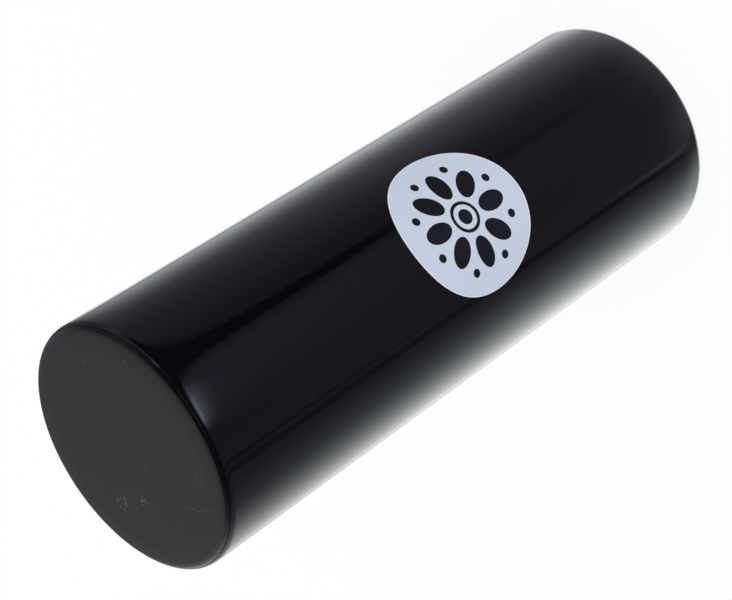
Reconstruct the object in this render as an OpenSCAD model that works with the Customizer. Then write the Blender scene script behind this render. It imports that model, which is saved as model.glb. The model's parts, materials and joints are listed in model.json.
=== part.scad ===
// Cylinder shaker: a gloss tube closed by two satin plug caps, with loose
// steel shot inside and a round label wrapped on the tube.
// It stands on its base cap, its axis is +Z and the label faces -Y.
// Every length is in millimetres.

/* [Overall] */
// Length over both caps
overall_l = 180; // [120:1:260]
// Outside diameter of the tube
tube_d = 63.5; // [62:0.5:80]
// Radius of the rounded shoulder at each end, which cap and tube share
shoulder_r = 2.4; // [2:0.1:2.6]

/* [Tube] */
// Wall thickness of the tube
tube_wall = 2.2; // [2:0.1:2.8]
// Chamfer at each mouth of the bore, which guides a spigot in
mouth_chamfer = 0.6; // [0.3:0.1:0.6]

/* [Plug caps] */
// Thickness of the disc inside the spigot
floor_t = 2.4; // [2:0.1:5]
// Height of the lip, from the outer face to the seam
lip_t = 1; // [0.9:0.1:1.4]
// Height of the straight rim just above the seam
rim_land = 0.2; // [0.1:0.05:0.3]
// Length of the spigot inside the tube
spigot_l = 14; // [8:0.5:25]
// Wall thickness of the spigot
spigot_wall = 1.9; // [1.3:0.1:2.5]
// Draft of the spigot: how much its free end is smaller in radius
spigot_draft = 0.15; // [0:0.05:0.3]
// Lead-in chamfer on the free end of the spigot
lead_in = 0.7; // [0.3:0.1:1]
// Width of the glue groove round the spigot
groove_w = 2.5; // [1:0.5:4]
// Depth of the glue groove
groove_depth = 0.5; // [0.2:0.1:0.8]
// Distance from the lip to the glue groove
groove_start = 5; // [2:0.5:6]
// Fillet between the inner floor and the spigot
floor_fillet = 1; // [0.3:0.1:1.5]
// Radial clearance between the spigot and the bore
spigot_clear = 0.1; // [0.05:0.05:0.2]

/* [Label] */
// Diameter of the label, measured round the tube and along it
label_d = 39.5; // [20:0.5:60]
// Height of the label's centre above the base
label_z = 86; // [60:1:94]
// Thickness of the label
label_t = 0.15; // [0.1:0.05:0.4]
// Thickness of the glue film behind the label
label_glue = 0.05; // [0.02:0.01:0.1]

/* [Steel shot] */
// Diameter of one ball
shot_d = 4.5; // [3:0.1:4.6]
// Least space between neighbouring balls
shot_gap = 0.2; // [0.1:0.05:0.6]
// Running clearance between the outermost ring and the spigot
wall_clear = 0.3; // [0.2:0.1:0.6]
// Clearance between the balls and the cap that they lie on
seat_clear = 0.05; // [0.02:0.01:0.1]

/* [Hidden] */

$fn = 128;
ball_segments = 48;
label_segments = 96;

// How far a cut runs past the surface that it opens
overrun = tube_wall / 2;

tube_r = tube_d / 2;
bore_r = tube_r - tube_wall;

// The cap's rim stands where the shoulder's arc has fallen to the straight rim
shoulder_start_r = tube_r - shoulder_r;
rim_z = lip_t - rim_land;
rim_r = shoulder_start_r + sqrt(pow(shoulder_r, 2) - pow(shoulder_r - rim_z, 2));

// The spigot and its floor, measured up from the cap's outer face
spigot_r = bore_r - spigot_clear;
spigot_tip_r = spigot_r - spigot_draft;
spigot_inner_r = spigot_r - spigot_wall;
spigot_top = lip_t + spigot_l;
groove_z = lip_t + groove_start;

// The tube fills the space between the two lips
tube_top = overall_l - lip_t;

// The bed of shot on the base cap's floor: one centre ball and as many rings
// round it as the spigot holds. The outer three rings run round by themselves
// and the rest are the core.
shot_r = shot_d / 2;
outer_ring_r = spigot_inner_r - wall_clear - shot_r;
ring_count = floor(outer_ring_r / (shot_d + shot_gap));
ring_pitch = outer_ring_r / ring_count;
free_rings = 3;
core_rings = ring_count - free_rings;
shot_z = floor_t + seat_clear + shot_r;

// Where the label lies on the tube
label_r = label_d / 2;
label_inner_r = tube_r + label_glue;
label_outer_r = label_inner_r + label_t;

// A rectangle in the radius and height plane, from the inner to the outer radius
module band(r_in, r_out, z_low, z_high) {
    translate([r_in, z_low])
        square([r_out - r_in, z_high - z_low]);
}

// Half outline of the closed shaker: straight sides, flat ends and a rounded
// shoulder between them at each end
module shaker_outline() {
    band(0, shoulder_start_r, 0, overall_l);
    band(0, tube_r, shoulder_r, overall_l - shoulder_r);
    for (z = [shoulder_r, overall_l - shoulder_r])
        translate([shoulder_start_r, z])
            circle(r = shoulder_r);
}

// Half section of the tube between the two seams: its outer edges follow the
// shoulders and the mouths of its bore are chamfered
module tube_section() {
    intersection() {
        shaker_outline();
        polygon([
            [bore_r, lip_t + mouth_chamfer],
            [bore_r + mouth_chamfer, lip_t],
            [tube_r, lip_t],
            [tube_r, tube_top],
            [bore_r + mouth_chamfer, tube_top],
            [bore_r, tube_top - mouth_chamfer]
        ]);
    }
}

// Half section of the disc and its lip: flat in the middle, falling along the
// shoulder to a short straight rim at the seam
module disc_section() {
    intersection() {
        shaker_outline();
        band(0, rim_r, 0, lip_t);
    }
    band(0, spigot_r - spigot_wall / 2, lip_t / 2, floor_t);
}

// Outline of the spigot wall: drafted outside, chamfered at its tip, with the
// glue groove cut in
module spigot_section() {
    difference() {
        polygon([
            [spigot_inner_r, lip_t / 2],
            [spigot_r, lip_t / 2],
            [spigot_r, lip_t],
            [spigot_tip_r, spigot_top - lead_in],
            [spigot_tip_r - lead_in, spigot_top],
            [spigot_inner_r, spigot_top]
        ]);
        band(spigot_r - spigot_draft - groove_depth, spigot_r + overrun, groove_z, groove_z + groove_w);
    }
}

// The quarter round that joins the inner floor to the spigot
module floor_fillet_section() {
    difference() {
        band(spigot_inner_r - floor_fillet, spigot_inner_r, floor_t, floor_t + floor_fillet);
        translate([spigot_inner_r - floor_fillet, floor_t + floor_fillet])
            circle(r = floor_fillet);
    }
}

// One moulded plug cap, with its outer face on z = 0 and its spigot upwards
module plug_cap() {
    rotate_extrude() {
        disc_section();
        spigot_section();
        floor_fillet_section();
    }
}

// One ring of the shot: as many balls as fit round it, evenly spaced
module shot_ring(number) {
    radius = number * ring_pitch;
    balls = floor(180 / asin((shot_d + shot_gap) / (2 * radius)));
    for (i = [0 : balls - 1])
        rotate([0, 0, 360 * i / balls])
            translate([radius, 0, shot_z])
                ball();
}

module ball() {
    color("#9fa2a6")
        sphere(d = shot_d, $fn = ball_segments);
}

// The label's outline seen square on: a circle on the unrolled surface, so
// its width is an arc round the tube
function label_point(angle) = [
    label_outer_r * sin(label_r * cos(angle) / label_outer_r * 180 / PI),
    label_r * sin(angle)
];

module tube() {
    color("#101013")
        rotate_extrude()
            tube_section();
}

module cap_base() {
    color("#343637")
        plug_cap();
}

module cap_top() {
    color("#343637")
        translate([0, 0, overall_l])
            mirror([0, 0, 1])
                plug_cap();
}

module label() {
    outline = [for (i = [0 : label_segments - 1]) label_point(360 * i / label_segments)];
    color("#c3cbdc")
        translate([0, 0, label_z])
            intersection() {
                difference() {
                    cylinder(r = label_outer_r, h = label_d, center = true);
                    cylinder(r = label_inner_r, h = label_d + 2 * overrun, center = true);
                }
                rotate([90, 0, 0])
                    linear_extrude(height = label_outer_r + overrun)
                        polygon(outline);
            }
}

module shot_core() {
    translate([0, 0, shot_z])
        ball();
    for (number = [1 : 1 : core_rings])
        shot_ring(number);
}

module shot_ring_inner() {
    shot_ring(core_rings + 1);
}

module shot_ring_middle() {
    shot_ring(ring_count - 1);
}

module shot_ring_outer() {
    shot_ring(ring_count);
}

tube();
cap_base();
cap_top();
label();
shot_core();
shot_ring_inner();
shot_ring_middle();
shot_ring_outer();
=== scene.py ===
"""A hand-held cylinder shaker standing on its base cap: finishes, light and camera.

Lengths are in metres and angles in radians. MM and DEG turn millimetres and degrees into
them, and a comment says where a table holds plain millimetres or degrees.
The shaker's axis is +Z, its base is on z = 0 and its label faces -Y. An azimuth is
measured round the axis, 0 towards -Y and 90 degrees towards +X.
"""
import json
import math

import bpy
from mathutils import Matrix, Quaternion, Vector


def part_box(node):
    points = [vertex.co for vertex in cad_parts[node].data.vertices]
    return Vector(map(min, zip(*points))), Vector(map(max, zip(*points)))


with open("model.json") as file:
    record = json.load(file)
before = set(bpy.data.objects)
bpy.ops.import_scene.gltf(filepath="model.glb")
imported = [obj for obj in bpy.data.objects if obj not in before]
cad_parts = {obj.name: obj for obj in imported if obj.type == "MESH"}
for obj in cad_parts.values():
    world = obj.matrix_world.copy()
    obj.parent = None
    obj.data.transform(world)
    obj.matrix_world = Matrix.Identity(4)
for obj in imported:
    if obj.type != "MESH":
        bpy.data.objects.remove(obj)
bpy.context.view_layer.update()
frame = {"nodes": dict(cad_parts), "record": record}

MM = 0.001
DEG = math.pi / 180

# Sizes that the finishes follow, taken from the frame
_, tube_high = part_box("tube")
_, cap_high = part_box("cap_top")
label_low, label_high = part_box("label")
TUBE_R = tube_high.x
CAP_R = cap_high.x
LABEL_Z = (label_low.z + label_high.z) / 2
LABEL_R = (label_high.z - label_low.z) / 2


def grey(level):
    return (level, level, level, 1)


# The photograph's camera: it looks down on the top cap and is rolled well over
AIM = Vector((-1.2, 0.1, 100.7)) * MM
CAMERA_DISTANCE = 0.5282
CAMERA_AZIMUTH = -4.06 * DEG
CAMERA_ELEVATION = 36.88 * DEG
CAMERA_ROLL = -123.58 * DEG
CAMERA_LENS_MM = 105.06
SENSOR_MM = 36

# Light on matt surfaces: sky and sun together come to 1
SKY_LEVEL = 0.75
SUN_LEVEL = 1 - SKY_LEVEL
SUN_AZIMUTH = -4 * DEG
SUN_ELEVATION = 50 * DEG
SUN_SPREAD = 60 * DEG

FLOOR_SIZE = 12
FLOOR_GAP = 0.1 * MM
FLOOR_COLOUR = grey(0.85)
# How much of what the camera sees of the floor is lit, and so can be in shadow
SHADOW_SHARE = 0.1

# The height that a value of 1 stands for in a bump
BUMP_UNIT = 0.01 * MM

# The colour sockets of a Mix node, by number, because its other kinds share their names
MIX_FIRST, MIX_SECOND, MIX_RESULT = 6, 7, 2


def direction(azimuth, elevation):
    """The unit vector that points to an azimuth and an elevation."""
    across = math.cos(elevation)
    return Vector((math.sin(azimuth) * across, -math.cos(azimuth) * across, math.sin(elevation)))


class Nodes:
    """One node tree, with a short call for each kind of node that the finishes use.

    A value may be a number, a colour or another node's output.
    """

    def __init__(self, tree):
        self.tree = tree
        tree.nodes.clear()

    def feed(self, node, inputs):
        """Gives a node's inputs, named or numbered, their values."""
        for name, value in inputs.items():
            if isinstance(value, bpy.types.NodeSocket):
                self.tree.links.new(value, node.inputs[name])
            else:
                node.inputs[name].default_value = value

    def add(self, kind, inputs=None, **settings):
        node = self.tree.nodes.new(kind)
        for name, value in settings.items():
            setattr(node, name, value)
        self.feed(node, inputs or {})
        return node

    def math(self, operation, *values):
        return self.add("ShaderNodeMath", dict(enumerate(values)), operation=operation).outputs[0]

    def vector(self, operation, *values):
        return self.add("ShaderNodeVectorMath", dict(enumerate(values)), operation=operation).outputs[0]

    def total(self, first, *others):
        for value in others:
            first = self.math("ADD", first, value)
        return first

    def product(self, first, *others):
        for value in others:
            first = self.math("MULTIPLY", first, value)
        return first

    def minus(self, value, less):
        return self.math("SUBTRACT", value, less)

    def ratio(self, value, whole):
        return self.math("DIVIDE", value, whole)

    def positive(self, value):
        """The value, or 0 where it is under 0."""
        return self.math("MAXIMUM", value, 0.0)

    def off(self, value, middle):
        """How far a value is from a middle one, on either side."""
        return self.math("ABSOLUTE", self.minus(value, middle))

    def wrap(self, angle, half):
        """An angle turned by whole turns of two halves, to lie within half on either side of 0."""
        return self.math("WRAP", angle, half, -half)

    def length(self, a, b):
        return self.math("SQRT", self.total(self.product(a, a), self.product(b, b)))

    def fade(self, value, start, end, kind="SMOOTHSTEP"):
        """0 where value is at start and before it, 1 at end and past it, smooth between."""
        inputs = {"Value": value, "From Min": start, "From Max": end}
        return self.add("ShaderNodeMapRange", inputs, interpolation_type=kind).outputs["Result"]

    def ramp(self, value, start, end):
        """The same as fade, but in a straight line."""
        return self.fade(value, start, end, "LINEAR")

    def light(self, under, level, tint):
        """Adds a light of one tint and level to the light under it."""
        return self.vector("MULTIPLY_ADD", self.join(level, level, level), tint, under)

    def mix(self, factor, first, second):
        """The first colour at factor 0, the second at factor 1."""
        inputs = {"Factor": factor, MIX_FIRST: first, MIX_SECOND: second}
        return self.add("ShaderNodeMix", inputs, data_type="RGBA").outputs[MIX_RESULT]

    def split(self, vector):
        node = self.add("ShaderNodeSeparateXYZ", {0: vector})
        return node.outputs["X"], node.outputs["Y"], node.outputs["Z"]

    def join(self, x, y, z):
        return self.add("ShaderNodeCombineXYZ", {"X": x, "Y": y, "Z": z}).outputs[0]

    def noise(self, vector, scale, detail=2, roughness=0.5):
        inputs = {"Vector": vector, "Scale": scale, "Detail": detail, "Roughness": roughness}
        return self.add("ShaderNodeTexNoise", inputs).outputs["Fac"]

    def waver(self, vector, scale, reach):
        """A smooth wandering to either side of 0, over a range of reach."""
        return self.product(self.minus(self.noise(vector, scale), 0.5), reach)

    def cells(self, vector, scale):
        """The distance to the nearest of a scatter of points, and that point's random colour."""
        node = self.add("ShaderNodeTexVoronoi", {"Vector": vector, "Scale": scale})
        return node.outputs["Distance"], node.outputs["Color"]

    def bump(self, height, strength):
        inputs = {"Height": height, "Strength": strength, "Distance": BUMP_UNIT}
        return self.add("ShaderNodeBump", inputs).outputs["Normal"]

    def place(self):
        """The point on the object, in metres in the shaker's own frame."""
        return self.add("ShaderNodeTexCoord").outputs["Object"]

    def azimuth(self, x, y):
        return self.math("ARCTAN2", x, self.product(y, -1))


# The room that the gloss mirrors
#
# Cards stand all round the shaker. Each has the four azimuths in degrees where it starts, is
# full, is full still and ends, its brightness as mirrored at the tube's top end, half way
# down and at its base end, and its tint.
CARDS = (
    ("white table", (-182, -160, -148, -95), (1.15, 1.42, 1.36), (0.98, 1.00, 0.91)),
    ("table sheen", (-163, -112, -112, -67), (0.16, 0.50, 0.77), (0.82, 1.00, 0.97)),
    ("softbox", (100, 142, 142, 156), (0.50, 0.72, 0.60), (0.90, 1.00, 0.92)),
    ("far wall", (149, 158, 164, 184), (1.00, 0.72, 0.20), (0.95, 1.00, 0.90)),
    ("warm wall", (48, 118, 165, 185), (0.04, 0.19, 0.42), (1.05, 1.00, 1.10)),
    ("blush", (38, 54, 100, 125), (0.03, 0.03, 0.03), (1.00, 0.00, 0.15)),
    ("violet panel", (-34, 8, 18, 29), (0.10, 0.04, 0.00), (0.87, 1.00, 1.70)),
    ("shaded corner", (24, 30, 46, 66), (-0.05, -0.04, 0.00), (1.00, 1.00, 1.00)),
    ("upper cord", (-70, -67, -64, -61), (-0.08, -0.08, -0.10), (1.05, 1.00, 1.05)),
    ("lower cord", (-61, -58, -57, -55), (-0.09, -0.03, 0.00), (1.05, 1.00, 1.05)),
)

# The room's own light between the cards, and the least light that it has anywhere
ROOM = (0.174, 0.172, 0.225)
LEAST = (0.02, 0.02, 0.02)

# The slope of a mirrored ray is how far it goes down for its length. These are the slopes at
# which the photograph's camera sees the room in the two ends of the tube's straight wall, at
# azimuth 0, and how much less they are at azimuth 180.
SLOPE_TOP = 0.5236
SLOPE_BASE = 0.7281
SLOPE_TOP_LESS = 0.0330
SLOPE_BASE_LESS = 0.0286


def window(nodes, azimuth, start, full_from, full_to, end):
    """1 between the two middle azimuths, fading out towards the outer two, all in degrees."""
    middle = (start + end) / 2
    offset = nodes.wrap(nodes.minus(azimuth, middle * DEG), math.pi)
    rise = nodes.fade(offset, (start - middle) * DEG, (full_from - middle) * DEG)
    fall = nodes.fade(offset, (end - middle) * DEG, (full_to - middle) * DEG)
    return nodes.product(rise, fall)


def windows(nodes, azimuth, parts):
    """The sum of a light's parts, each a window of its own level."""
    shares = [nodes.product(window(nodes, azimuth, *azimuths), level) for azimuths, level in parts]
    return nodes.total(*shares)


def down_the_wall(nodes, azimuth, slope):
    """How far down the straight wall the camera sees this ray: 0 at the top end, 1 at the base end."""
    bend = nodes.minus(1.0, nodes.math("COSINE", nodes.product(azimuth, 0.5)))
    top = nodes.total(SLOPE_TOP, nodes.product(bend, -SLOPE_TOP_LESS))
    base = nodes.total(SLOPE_BASE, nodes.product(bend, -SLOPE_BASE_LESS))
    return nodes.ratio(nodes.minus(slope, top), nodes.minus(base, top))


def decay(nodes, value, reach):
    """Falls from 1 at 0 towards 0, to a third over each reach."""
    return nodes.math("EXPONENT", nodes.ratio(nodes.positive(value), -reach))


def swell(nodes, value, start, reach, most):
    """Grows threefold over each reach, is 1 at start and stops at most."""
    grown = nodes.math("EXPONENT", nodes.ratio(nodes.minus(value, start), reach))
    return nodes.math("MINIMUM", grown, most)


def add_cards(nodes, light, azimuth, down):
    upper_half = nodes.ramp(down, 0.0, 0.5)
    lower_half = nodes.ramp(down, 0.5, 1.0)
    for _, azimuths, (top_level, middle_level, base_level), tint in CARDS:
        level = nodes.total(
            top_level,
            nodes.product(upper_half, middle_level - top_level),
            nodes.product(lower_half, base_level - middle_level),
        )
        light = nodes.light(light, nodes.product(window(nodes, azimuth, *azimuths), level), tint)
    return light


# Close to the foot the cords are swung round: how far, over what reach of the wall and
# between which azimuths
FOOT_SWING = 20 * DEG
FOOT_REACH = 0.008
FOOT_WINDOW = (-120, -95, -35, -10)


def foot_bend(nodes, azimuth, down):
    """How far the cords and the table's edge are swung round close to the foot."""
    swing = nodes.product(swell(nodes, down, 1.0, FOOT_REACH, 1.0), FOOT_SWING)
    return nodes.product(swing, window(nodes, azimuth, *FOOT_WINDOW))


# Lights at the foot, in parts with their azimuths and level: the bright table's glow below
# the tube and before it, and one cord that catches the light
GLOW_BELOW = (((-165, -115, -104, -80), 0.30),)
GLOW_BELOW_TINT = (0.90, 1.00, 0.96)
GLOW_BEFORE = (((-75, -58, -45, 0), 0.25), ((-70, 50, 125, 150), 0.30))
GLOW_BEFORE_TINT = (1.05, 1.00, 1.15)
LIT_CORD = (((-64, -61, -59.5, -57), 0.20),)
LIT_CORD_TINT = (1.00, 1.00, 1.05)

# Where down the wall the glow comes to 1, its reach and its most, and where the cord lights up
GLOW_START = 0.989
GLOW_REACH = 0.017
GLOW_MOST = 1.6
LIT_CORD_START, LIT_CORD_FULL = 0.80, 0.95


def add_foot(nodes, light, azimuth, down):
    """Adds the bright table close to the foot of the shaker, and the cord that catches its light."""
    glow = swell(nodes, down, GLOW_START, GLOW_REACH, GLOW_MOST)
    below = nodes.product(windows(nodes, azimuth, GLOW_BELOW), glow)
    before = nodes.product(windows(nodes, azimuth, GLOW_BEFORE), glow)
    lit = nodes.fade(down, LIT_CORD_START, LIT_CORD_FULL)
    light = nodes.light(light, below, GLOW_BELOW_TINT)
    light = nodes.light(light, before, GLOW_BEFORE_TINT)
    return nodes.light(light, nodes.product(windows(nodes, azimuth, LIT_CORD), lit), LIT_CORD_TINT)


# The shade by the tube's top end: its colour, and the azimuths and reach of the wall's part
# and of the table's weaker one
SHADE = (0.205, 0.19, 0.235, 1)
WALL_SHADE_WINDOW = (45, 75, 176, 194)
WALL_SHADE_REACH = 0.045
TABLE_SHADE_WINDOW = (-175, -145, -135, -95)
TABLE_SHADE_REACH = 0.03
TABLE_SHADE_LEVEL = 0.35


def shade_top_end(nodes, light, azimuth, down):
    """Turns the wall's light and the table's to shade where the tube's top end mirrors them."""
    wall = nodes.product(
        window(nodes, azimuth, *WALL_SHADE_WINDOW),
        decay(nodes, down, WALL_SHADE_REACH),
    )
    table = nodes.product(
        window(nodes, azimuth, *TABLE_SHADE_WINDOW),
        decay(nodes, down, TABLE_SHADE_REACH),
        TABLE_SHADE_LEVEL,
    )
    return nodes.mix(nodes.math("MAXIMUM", wall, table), light, SHADE)


# The dark corner: its colour, its two edges half way down the tube, and how far each moves
# outwards towards the top end: close to the end, over a wider reach, and over the shoulder
CORNER = (0.025, 0.022, 0.045, 1)
LOW_EDGE, LOW_CLOSE, LOW_SHOULDER = 30 * DEG, -11.5 * DEG, -12 * DEG
HIGH_EDGE, HIGH_WIDE, HIGH_CLOSE, HIGH_SHOULDER = 36.5 * DEG, 12 * DEG, 20 * DEG, 15 * DEG
CLOSE_REACH = 0.025
WIDE_REACH = 0.17
SHOULDER_END_SLOPE = -0.1

# The softness of the corner's edges, and its two shares by how far down the wall they go
LOW_SOFTNESS = -2 * DEG, 1.5 * DEG
HIGH_SOFTNESS = 3 * DEG, -2 * DEG
UPPER_SHARE, UPPER_FADE = 0.75, (0.70, 0.38)
WHOLE_SHARE, WHOLE_FADE = 0.25, (1.0, 0.8)


def corner_edges(nodes, down, slope):
    """The azimuths between which the room is dark, rounded outwards at the tube's top end."""
    close = decay(nodes, down, CLOSE_REACH)
    wide = decay(nodes, down, WIDE_REACH)
    shoulder = nodes.ramp(slope, SLOPE_TOP, SHOULDER_END_SLOPE)
    low = nodes.total(LOW_EDGE, nodes.product(close, LOW_CLOSE), nodes.product(shoulder, LOW_SHOULDER))
    high = nodes.total(
        HIGH_EDGE,
        nodes.product(wide, HIGH_WIDE),
        nodes.product(close, HIGH_CLOSE),
        nodes.product(shoulder, HIGH_SHOULDER),
    )
    return low, high


def dark_corner(nodes, azimuth, down, low, high):
    """The dark strip between two cards, crisp at both edges and gone at the tube's base end."""
    above_low = nodes.fade(nodes.minus(azimuth, low), *LOW_SOFTNESS)
    below_high = nodes.fade(nodes.minus(azimuth, high), *HIGH_SOFTNESS)
    upper = nodes.product(nodes.fade(down, *UPPER_FADE), UPPER_SHARE)
    whole = nodes.product(nodes.fade(down, *WHOLE_FADE), WHOLE_SHARE)
    return nodes.product(above_low, below_high, nodes.total(upper, whole))


# The desk lamp as mirrored by the wall, with how far down that reaches, and by the shoulder,
# with the slope where that is full
LAMP_TINT = (0.93, 1.00, 1.25)
LAMP_LEVEL = 1.55
LAMP_REACH = 0.0077
LAMP_SHOULDER_LEVEL = 0.3
LAMP_SHOULDER_SLOPE = 0.25

# Where the lamp starts and is full, by azimuth and, at its other side, from the dark corner's
# low edge, and its upper edge by slope, which leans over from one azimuth on
LAMP_RISE = -27 * DEG, -11 * DEG
LAMP_FALL = 0.0, -18 * DEG
LAMP_UPPER_EDGE = -0.56, -0.22
LEAN_START = -14 * DEG
LEAN_RATE = 3.3


def desk_lamp(nodes, azimuth, down, slope, low):
    """A small lamp low down before the camera, mirrored by the tube's top end."""
    level = nodes.total(
        nodes.product(decay(nodes, down, LAMP_REACH), LAMP_LEVEL),
        nodes.product(nodes.ramp(slope, SLOPE_TOP, LAMP_SHOULDER_SLOPE), LAMP_SHOULDER_LEVEL),
    )
    rise = nodes.fade(azimuth, *LAMP_RISE)
    fall = nodes.fade(nodes.minus(azimuth, low), *LAMP_FALL)
    lean = nodes.positive(nodes.minus(azimuth, LEAN_START))
    upper = nodes.fade(nodes.minus(slope, nodes.product(lean, lean, LEAN_RATE)), *LAMP_UPPER_EDGE)
    return nodes.product(level, rise, fall, upper)


# The strip light: its tint, and its parts with their azimuths and level
BAR_TINT = (1.00, 0.96, 1.04)
BAR = (((-8, 14, 30, 50), 0.12), ((36, 41, 43, 52), 0.60), ((30, 50, 75, 110), 0.22))

# Its elevation at azimuth 0, how it bends down to either side, and how it rises before one
# azimuth; its half width, how that grows past another azimuth, and its soft edge
BAR_ELEVATION = 28 * DEG
BAR_BEND = -0.149
BAR_RISE_BEFORE = 33 * DEG
BAR_RISE_RATE = 0.45
BAR_HALF_WIDTH = 8.5 * DEG
BAR_GROWTH_PAST = 40 * DEG
BAR_GROWTH_RATE = 0.5
BAR_SOFT_EDGE = 6 * DEG


def light_bar(nodes, azimuth, z):
    """A bent strip light, brightest in one place: the line along the shoulder by the top cap."""
    rise = nodes.positive(nodes.minus(BAR_RISE_BEFORE, azimuth))
    height = nodes.total(
        BAR_ELEVATION, nodes.product(azimuth, azimuth, BAR_BEND), nodes.product(rise, BAR_RISE_RATE)
    )
    growth = nodes.positive(nodes.minus(azimuth, BAR_GROWTH_PAST))
    edge = nodes.total(nodes.product(growth, BAR_GROWTH_RATE), BAR_HALF_WIDTH)
    off = nodes.off(nodes.math("ARCSINE", z), height)
    line = nodes.fade(off, edge, nodes.minus(edge, BAR_SOFT_EDGE))
    return nodes.product(line, windows(nodes, azimuth, BAR))


# The ceiling: its colours before the shaker and behind it and where they change, and the
# heights of a ray between which it comes in, before and behind
CEILING_BEFORE = (0.03, 0.03, 0.035, 1)
CEILING_BEHIND = (0.2, 0.19, 0.21, 1)
CEILING_WINDOW = (45, 80, 240, 285)
CEILING_FROM_BEFORE = 0.0, 0.5
CEILING_FROM_BEHIND = 0.05, 0.85
BEHIND_WINDOW = (70, 130, 230, 290)

# The pale backdrop behind the shaker: its light, azimuths, and lower and upper edge
BACKDROP = (0.40, 0.40, 0.40)
BACKDROP_WINDOW = (115, 155, 215, 250)
BACKDROP_LOWER_EDGE = -0.05, 0.05
BACKDROP_UPPER_EDGE = 0.50, 0.20


def add_ceiling(nodes, light, azimuth, z):
    """Puts the dark ceiling over the room, and the pale backdrop behind the shaker under it."""
    behind = window(nodes, azimuth, *BEHIND_WINDOW)
    dark = nodes.total(
        nodes.product(behind, nodes.fade(z, *CEILING_FROM_BEHIND)),
        nodes.product(nodes.minus(1.0, behind), nodes.fade(z, *CEILING_FROM_BEFORE)),
    )
    ceiling = nodes.mix(window(nodes, azimuth, *CEILING_WINDOW), CEILING_BEFORE, CEILING_BEHIND)
    backdrop = nodes.product(
        window(nodes, azimuth, *BACKDROP_WINDOW),
        nodes.fade(z, *BACKDROP_LOWER_EDGE),
        nodes.fade(z, *BACKDROP_UPPER_EDGE),
    )
    return nodes.light(nodes.mix(dark, light, ceiling), backdrop, BACKDROP)


def mirrored_room(nodes):
    """What the gloss mirrors, by direction alone."""
    x, y, z = nodes.split(nodes.add("ShaderNodeTexCoord").outputs["Generated"])
    azimuth = nodes.azimuth(x, y)
    slope = nodes.product(z, -1)
    down = down_the_wall(nodes, azimuth, slope)
    swung = nodes.minus(azimuth, foot_bend(nodes, azimuth, down))
    light = add_cards(nodes, nodes.join(*ROOM), swung, down)
    light = add_foot(nodes, light, swung, down)
    light = shade_top_end(nodes, light, azimuth, down)
    low, high = corner_edges(nodes, down, slope)
    light = nodes.mix(dark_corner(nodes, azimuth, down, low, high), light, CORNER)
    light = nodes.light(light, desk_lamp(nodes, azimuth, down, slope, low), LAMP_TINT)
    light = add_ceiling(nodes, nodes.vector("MAXIMUM", light, LEAST), azimuth, z)
    return nodes.light(light, light_bar(nodes, azimuth, z), BAR_TINT)


def make_world():
    """White to the camera, the mirrored room to gloss and an even sky to all else."""
    world = bpy.data.worlds.new("studio")
    bpy.context.scene.world = world
    world.use_nodes = True
    nodes = Nodes(world.node_tree)
    path = nodes.add("ShaderNodeLightPath")
    colour = nodes.mix(path.outputs["Is Camera Ray"], grey(SKY_LEVEL), grey(1))
    colour = nodes.mix(path.outputs["Is Transmission Ray"], colour, grey(1))
    colour = nodes.mix(path.outputs["Is Glossy Ray"], colour, mirrored_room(nodes))
    background = nodes.add("ShaderNodeBackground", {"Color": colour})
    nodes.add("ShaderNodeOutputWorld", {"Surface": background.outputs[0]})


def make_sun():
    """One very soft lamp, which gives the floor its shadow and the shaker some shape."""
    sun = bpy.data.lights.new("soft_sun", "SUN")
    sun.energy = SUN_LEVEL * math.pi / math.sin(SUN_ELEVATION)
    sun.angle = SUN_SPREAD
    lamp = bpy.data.objects.new("soft_sun", sun)
    lamp.rotation_mode = "QUATERNION"
    lamp.rotation_quaternion = direction(SUN_AZIMUTH, SUN_ELEVATION).to_track_quat("Z", "Y")
    lamp.visible_glossy = False
    bpy.context.scene.collection.objects.link(lamp)


def make_floor():
    """White to the camera, with the shaker's shadow kept faint."""
    bpy.ops.mesh.primitive_plane_add(size=FLOOR_SIZE, location=(0, 0, -FLOOR_GAP))
    floor = bpy.context.object
    floor.name = "floor"
    floor.visible_glossy = False
    material = bpy.data.materials.new("floor")
    material.use_nodes = True
    nodes = Nodes(material.node_tree)
    matt = nodes.add("ShaderNodeBsdfDiffuse", {"Color": FLOOR_COLOUR})
    shadow = nodes.add("ShaderNodeBsdfDiffuse", {"Color": grey(SHADOW_SHARE)})
    glow = nodes.add("ShaderNodeEmission", {"Strength": 1 - SHADOW_SHARE})
    seen = nodes.add("ShaderNodeAddShader", {0: shadow.outputs[0], 1: glow.outputs[0]})
    to_camera = nodes.add("ShaderNodeLightPath").outputs["Is Camera Ray"]
    surface = nodes.add("ShaderNodeMixShader", {0: to_camera, 1: matt.outputs[0], 2: seen.outputs[0]})
    nodes.add("ShaderNodeOutputMaterial", {"Surface": surface.outputs[0]})
    floor.data.materials.append(material)


def make_camera():
    data = bpy.data.cameras.new("camera")
    data.lens = CAMERA_LENS_MM
    data.sensor_width = SENSOR_MM
    back = direction(CAMERA_AZIMUTH, CAMERA_ELEVATION)
    camera = bpy.data.objects.new("camera", data)
    camera.location = AIM + back * CAMERA_DISTANCE
    camera.rotation_mode = "QUATERNION"
    roll = Quaternion((0, 0, 1), CAMERA_ROLL)
    camera.rotation_quaternion = (-back).to_track_quat("-Z", "Y") @ roll
    bpy.context.scene.collection.objects.link(camera)
    bpy.context.scene.camera = camera
    bpy.context.scene.view_settings.view_transform = "Standard"


# Finishes

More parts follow.
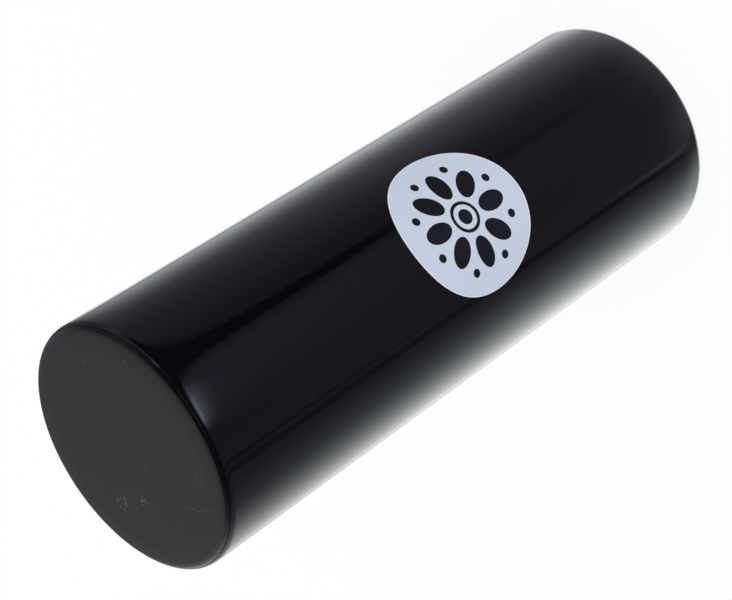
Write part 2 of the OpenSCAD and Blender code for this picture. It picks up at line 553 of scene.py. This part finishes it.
def new_material(name, ior=1.5, metallic=0.0):
    """A material with a principled shader, its node tree and that shader."""
    material = bpy.data.materials.new(name)
    material.use_nodes = True
    nodes = Nodes(material.node_tree)
    shader = nodes.add("ShaderNodeBsdfPrincipled", {"IOR": ior, "Metallic": metallic})
    nodes.add("ShaderNodeOutputMaterial", {"Surface": shader.outputs[0]})
    return material, nodes, shader


def specks(nodes, place, scale, radius, share):
    """Scattered round specks: scale is points to the metre, share is how many of them show."""
    distance, colour = nodes.cells(place, scale)
    pick, size, _ = nodes.split(colour)
    shown = nodes.math("LESS_THAN", pick, share)
    reach = nodes.product(nodes.total(size, 0.4), radius * scale)
    return nodes.product(shown, nodes.fade(distance, reach, nodes.product(reach, 0.5)))


def hairlines(nodes, place, scale, stretch, width, share):
    """Fine short scratches: thin bands of noise that is drawn out along one axis, kept in patches."""
    drawn = nodes.noise(nodes.vector("MULTIPLY", place, stretch), scale, detail=1)
    line = nodes.fade(nodes.off(drawn, 0.5), width, 0.0)
    patch = nodes.fade(nodes.noise(place, scale / 6), 1 - share, 1.1 - share)
    return nodes.product(line, patch)


# The tube's colour, from darkest to palest, and that of its marks and dust
GLOSS = (0.0010, 0.0009, 0.0012, 1), (0.0016, 0.0015, 0.0019, 1)
GLOSS_MARK = (0.30, 0.30, 0.32, 1)
GLOSS_DUST = (0.42, 0.41, 0.44, 1)


def tube_gloss():
    """Black high gloss, with a trace of waviness, dust and hairline marks."""
    material, nodes, shader = new_material("tube_gloss")
    place = nodes.place()
    dust = specks(nodes, place, scale=260, radius=0.13 * MM, share=0.10)
    marks = hairlines(nodes, place, scale=160, stretch=(1, 1, 0.06), width=0.004, share=0.45)
    cloud = nodes.noise(place, scale=45, detail=4)
    wave = nodes.noise(place, scale=70, detail=1)
    colour = nodes.mix(cloud, *GLOSS)
    colour = nodes.mix(nodes.product(marks, 0.02), colour, GLOSS_MARK)
    colour = nodes.mix(nodes.product(dust, 0.35), colour, GLOSS_DUST)
    rough = nodes.total(0.03, nodes.product(cloud, 0.02), nodes.product(dust, 0.4))
    height = nodes.total(nodes.product(wave, 0.25), nodes.product(dust, 6))
    nodes.feed(shader, {"Base Color": colour, "Roughness": rough, "Normal": nodes.bump(height, 1.0)})
    return material


# The cap's face, from darkest to palest, its grain, its rim's colour, darkened as painted shade, and
# its marks and dust
FACE = (0.0137, 0.0178, 0.0192, 1), (0.0160, 0.0203, 0.0217, 1)
FACE_GRAIN = (0.06, 0.06, 0.06, 1)
CAP_RIM_SHADE = (0.0010, 0.0010, 0.0011, 1)
CAP_MARK = (0.22, 0.23, 0.23, 1)
CAP_DUST = (0.34, 0.35, 0.35, 1)

# Where the top cap's outer face starts, by height, and where the caps' smooth rim, darkened as painted
# shade, and their slightly fallen edge start and are full, by radius
OUTER_FACE = cap_high.z - 0.5 * MM, cap_high.z - 0.1 * MM
SHADED_RIM_ZONE = CAP_R - 1.15 * MM, CAP_R - 0.35 * MM
FALL_ZONE = CAP_R - 5.5 * MM, CAP_R + 3.5 * MM

# Wear on the top cap's face, in millimetres: scuffed patches and single specks by place and
# radius, and one scratch from its first place to its last
SCUFFED = ((-8, 16, 3.6), (-11.5, 8, 3.8), (-15.5, -17.5, 2.4), (-5.5, -1, 1.6))
SPECKED = (
    (21.5, -7.9, 0.22), (15.3, -21.6, 0.20), (-25.2, 7.1, 0.16),
    (-8.6, 15.1, 0.24), (-11, 12.1, 0.22), (-22.4, -15.3, 0.2),
)
SCRATCH = ((-17.8, -5.6), (-22, -14.2))
# The part of a patch's or speck's radius that stays full
SPOT_CORE = 0.4
SCRATCH_HALF_WIDTH = 0.25 * MM
SCRATCH_BEND = 2 * MM
SCRATCH_FADE_IN = 1 * MM
SCRATCH_FADE_OUT = 3 * MM


def near(nodes, x, y, spots):
    """1 close to any of the spots, 0 past their radius."""
    result = 0.0
    for spot_x, spot_y, radius in spots:
        far = nodes.length(nodes.minus(x, spot_x * MM), nodes.minus(y, spot_y * MM))
        result = nodes.math("MAXIMUM", result, nodes.fade(far, radius * MM, radius * SPOT_CORE * MM))
    return result


def scratch(nodes, place, x, y):
    """The one scratch, 1 on its middle line, bent a little by noise."""
    (start_x, start_y), (end_x, end_y) = SCRATCH
    reach = math.dist(*SCRATCH)
    step_x, step_y = (end_x - start_x) / reach, (end_y - start_y) / reach
    off_x = nodes.minus(x, start_x * MM)
    off_y = nodes.minus(y, start_y * MM)
    along = nodes.total(nodes.product(off_x, step_x), nodes.product(off_y, step_y))
    across = nodes.total(nodes.product(off_x, step_y), nodes.product(off_y, -step_x))
    bent = nodes.total(across, nodes.waver(place, 220, SCRATCH_BEND))
    line = nodes.fade(nodes.math("ABSOLUTE", bent), SCRATCH_HALF_WIDTH, 0.0)
    starts = nodes.fade(along, 0.0, SCRATCH_FADE_IN)
    ends = nodes.fade(along, reach * MM, reach * MM - SCRATCH_FADE_OUT)
    return nodes.product(line, starts, ends)


def cap_satin():
    """Charcoal with a fine moulded grain on the face, turning smooth over the rim, which is darkened
    there as painted shade.
    """
    material, nodes, shader = new_material("cap_satin")
    place = nodes.place()
    x, y, z = nodes.split(place)
    radius = nodes.length(x, y)
    outside = nodes.fade(z, *OUTER_FACE)
    rim_smooth_and_shaded = nodes.fade(radius, *SHADED_RIM_ZONE)
    fall = nodes.fade(radius, *FALL_ZONE)
    grain = nodes.noise(place, scale=2600, detail=3, roughness=0.6)
    cloud = nodes.noise(place, scale=60, detail=4)
    scuffs = nodes.total(
        specks(nodes, place, scale=1300, radius=0.17 * MM, share=0.45),
        hairlines(nodes, place, scale=700, stretch=(1, 0.4, 1), width=0.03, share=0.6),
    )
    rubs = hairlines(nodes, place, scale=190, stretch=(1, 0.10, 1), width=0.006, share=0.5)
    marks = nodes.total(
        nodes.product(rubs, 0.25),
        nodes.product(outside, near(nodes, x, y, SCUFFED), scuffs, 4.5),
        nodes.product(outside, scratch(nodes, place, x, y), 1.6),
    )
    dust = nodes.total(
        specks(nodes, place, scale=330, radius=0.14 * MM, share=0.05),
        nodes.product(outside, near(nodes, x, y, SPECKED)),
    )
    colour = nodes.mix(cloud, *FACE)
    colour = nodes.mix(nodes.product(nodes.minus(grain, 0.5), 0.25), colour, FACE_GRAIN)
    # painted shade: the rim's colour is darkened where it mirrors the dark room
    colour = nodes.mix(rim_smooth_and_shaded, colour, CAP_RIM_SHADE)
    colour = nodes.mix(nodes.product(marks, 0.08), colour, CAP_MARK)
    colour = nodes.mix(nodes.product(dust, 0.45), colour, CAP_DUST)
    rough = nodes.total(0.50, nodes.product(cloud, 0.06), nodes.product(rim_smooth_and_shaded, -0.22))
    height = nodes.total(
        grain, nodes.product(dust, 5), nodes.product(marks, -2), nodes.product(fall, -150)
    )
    nodes.feed(shader, {"Base Color": colour, "Roughness": rough, "Normal": nodes.bump(height, 0.35)})
    return material


# The label's vinyl and ink, from darkest to palest, its cut edge and the painted shade in its crease
PAPER = (0.540, 0.606, 0.728, 1), (0.566, 0.630, 0.752, 1)
PAPER_EDGE = (0.68, 0.73, 0.82, 1)
PAPER_CREASE_SHADE = (0.30, 0.30, 0.38, 1)
INK = (0.0040, 0.0046, 0.0080, 1), (0.0060, 0.0068, 0.0105, 1)

# The print on the label, a plain rosette: sizes from the label's middle
PETALS = 8
PETAL_MIDDLE = 9.6 * MM
PETAL_HALF_LENGTH = 4.1 * MM
PETAL_HALF_WIDTH = 2.5 * MM
BEAD_MIDDLE = 14.0 * MM
BEAD_R = 1.1 * MM
HUB_R = 2.0 * MM
HUB_RING_R = 3.7 * MM
HUB_RING_HALF_WIDTH = 0.45 * MM
PRINT_EDGE = 0.06 * MM

# The bright cut edge, and the crease, painted as a line of shade: its place, lean, bend, half width,
# where its ends start to fade and are gone, and how strong its painted shade is
LABEL_LIP = 0.45 * MM
CREASE_AROUND = 14.8 * MM
CREASE_UP = -1.2 * MM
CREASE_LEAN = 0.12
CREASE_BEND = 1.2 * MM
CREASE_HALF_WIDTH = 0.22 * MM
CREASE_FADE, CREASE_END = 6 * MM, 9 * MM
CREASE_SHADE_LEVEL = 0.22


def inside(nodes, distance, limit):
    """1 where a distance is under its limit, with a crisp but smooth edge."""
    return nodes.fade(distance, limit + PRINT_EDGE, limit - PRINT_EDGE)


def sector(nodes, radius, angle, turn):
    """The point's place in the nearest of the rosette's sectors: along and across its middle line."""
    local = nodes.wrap(nodes.total(angle, turn), math.pi / PETALS)
    along = nodes.product(radius, nodes.math("COSINE", local))
    across = nodes.product(radius, nodes.math("SINE", local))
    return along, across


def rosette(nodes, radius, angle):
    """The whole print: petals round a hub, with a bead between each two."""
    along, across = sector(nodes, radius, angle, 0)
    squeezed = nodes.product(across, PETAL_HALF_LENGTH / PETAL_HALF_WIDTH)
    petal = inside(nodes, nodes.length(nodes.minus(along, PETAL_MIDDLE), squeezed), PETAL_HALF_LENGTH)
    along, across = sector(nodes, radius, angle, math.pi / PETALS)
    bead = inside(nodes, nodes.length(nodes.minus(along, BEAD_MIDDLE), across), BEAD_R)
    hub = inside(nodes, radius, HUB_R)
    ring = inside(nodes, nodes.off(radius, HUB_RING_R), HUB_RING_HALF_WIDTH)
    return nodes.math("MINIMUM", nodes.total(petal, bead, hub, ring), 1.0)


def crease_shade(nodes, place, around, up):
    """Painted shade along a faint pressed line beside the print, bent a little by noise."""
    lean = nodes.product(nodes.minus(up, CREASE_UP), CREASE_LEAN)
    bend = nodes.waver(place, 160, CREASE_BEND)
    across = nodes.math("ABSOLUTE", nodes.total(around, -CREASE_AROUND, bend, lean))
    line = nodes.fade(across, CREASE_HALF_WIDTH, 0.0)
    ends = nodes.fade(nodes.off(up, CREASE_UP), CREASE_END, CREASE_FADE)
    return nodes.product(line, ends, CREASE_SHADE_LEVEL)


def label_vinyl():
    """Pale smooth vinyl with a black print and a thin bright cut edge."""
    material, nodes, shader = new_material("label_vinyl", ior=1.3)
    place = nodes.place()
    x, y, z = nodes.split(place)
    around = nodes.product(nodes.azimuth(x, y), TUBE_R)
    up = nodes.minus(z, LABEL_Z)
    radius = nodes.length(around, up)
    angle = nodes.math("ARCTAN2", up, around)
    cloud = nodes.noise(place, scale=50, detail=4)
    fibre = nodes.noise(place, scale=1500, detail=2)
    edge = nodes.fade(radius, LABEL_R - LABEL_LIP, LABEL_R - LABEL_LIP / 2)
    printed = rosette(nodes, radius, angle)
    colour = nodes.mix(edge, nodes.mix(cloud, *PAPER), PAPER_EDGE)
    # painted shade: the crease is a darker line in the colour, with no bump
    colour = nodes.mix(crease_shade(nodes, place, around, up), colour, PAPER_CREASE_SHADE)
    colour = nodes.mix(printed, colour, nodes.mix(fibre, *INK))
    rough = nodes.total(0.36, nodes.product(fibre, 0.08), nodes.product(printed, -0.08))
    height = nodes.total(fibre, nodes.product(printed, 0.8))
    nodes.feed(shader, {"Base Color": colour, "Roughness": rough, "Normal": nodes.bump(height, 0.25)})
    return material


# The steel, from darkest to palest, and its pits
STEEL = (0.46, 0.47, 0.49, 1), (0.58, 0.59, 0.61, 1)
STEEL_PIT = (0.30, 0.30, 0.31, 1)


def shot_steel():
    """Polished steel balls, dulled and lightly pitted by rubbing on each other."""
    material, nodes, shader = new_material("shot_steel", metallic=1.0)
    place = nodes.place()
    cloud = nodes.noise(place, scale=420, detail=4)
    pits = specks(nodes, place, scale=2400, radius=0.05 * MM, share=0.3)
    colour = nodes.mix(pits, nodes.mix(cloud, *STEEL), STEEL_PIT)
    rough = nodes.total(0.16, nodes.product(cloud, 0.22))
    height = nodes.product(pits, -1)
    nodes.feed(shader, {"Base Color": colour, "Roughness": rough, "Normal": nodes.bump(height, 0.3)})
    return material


def dress(finishes):
    """Gives each CAD node the finish of its material slot."""
    slots = {part["node"]: part["material_slot"] for part in frame["record"]["subparts"]}
    for name, node in frame["nodes"].items():
        node.data.materials.clear()
        node.data.materials.append(finishes[slots[name]])


make_camera()
make_world()
make_sun()
make_floor()
dress({make.__name__: make() for make in (tube_gloss, cap_satin, label_vinyl, shot_steel)})
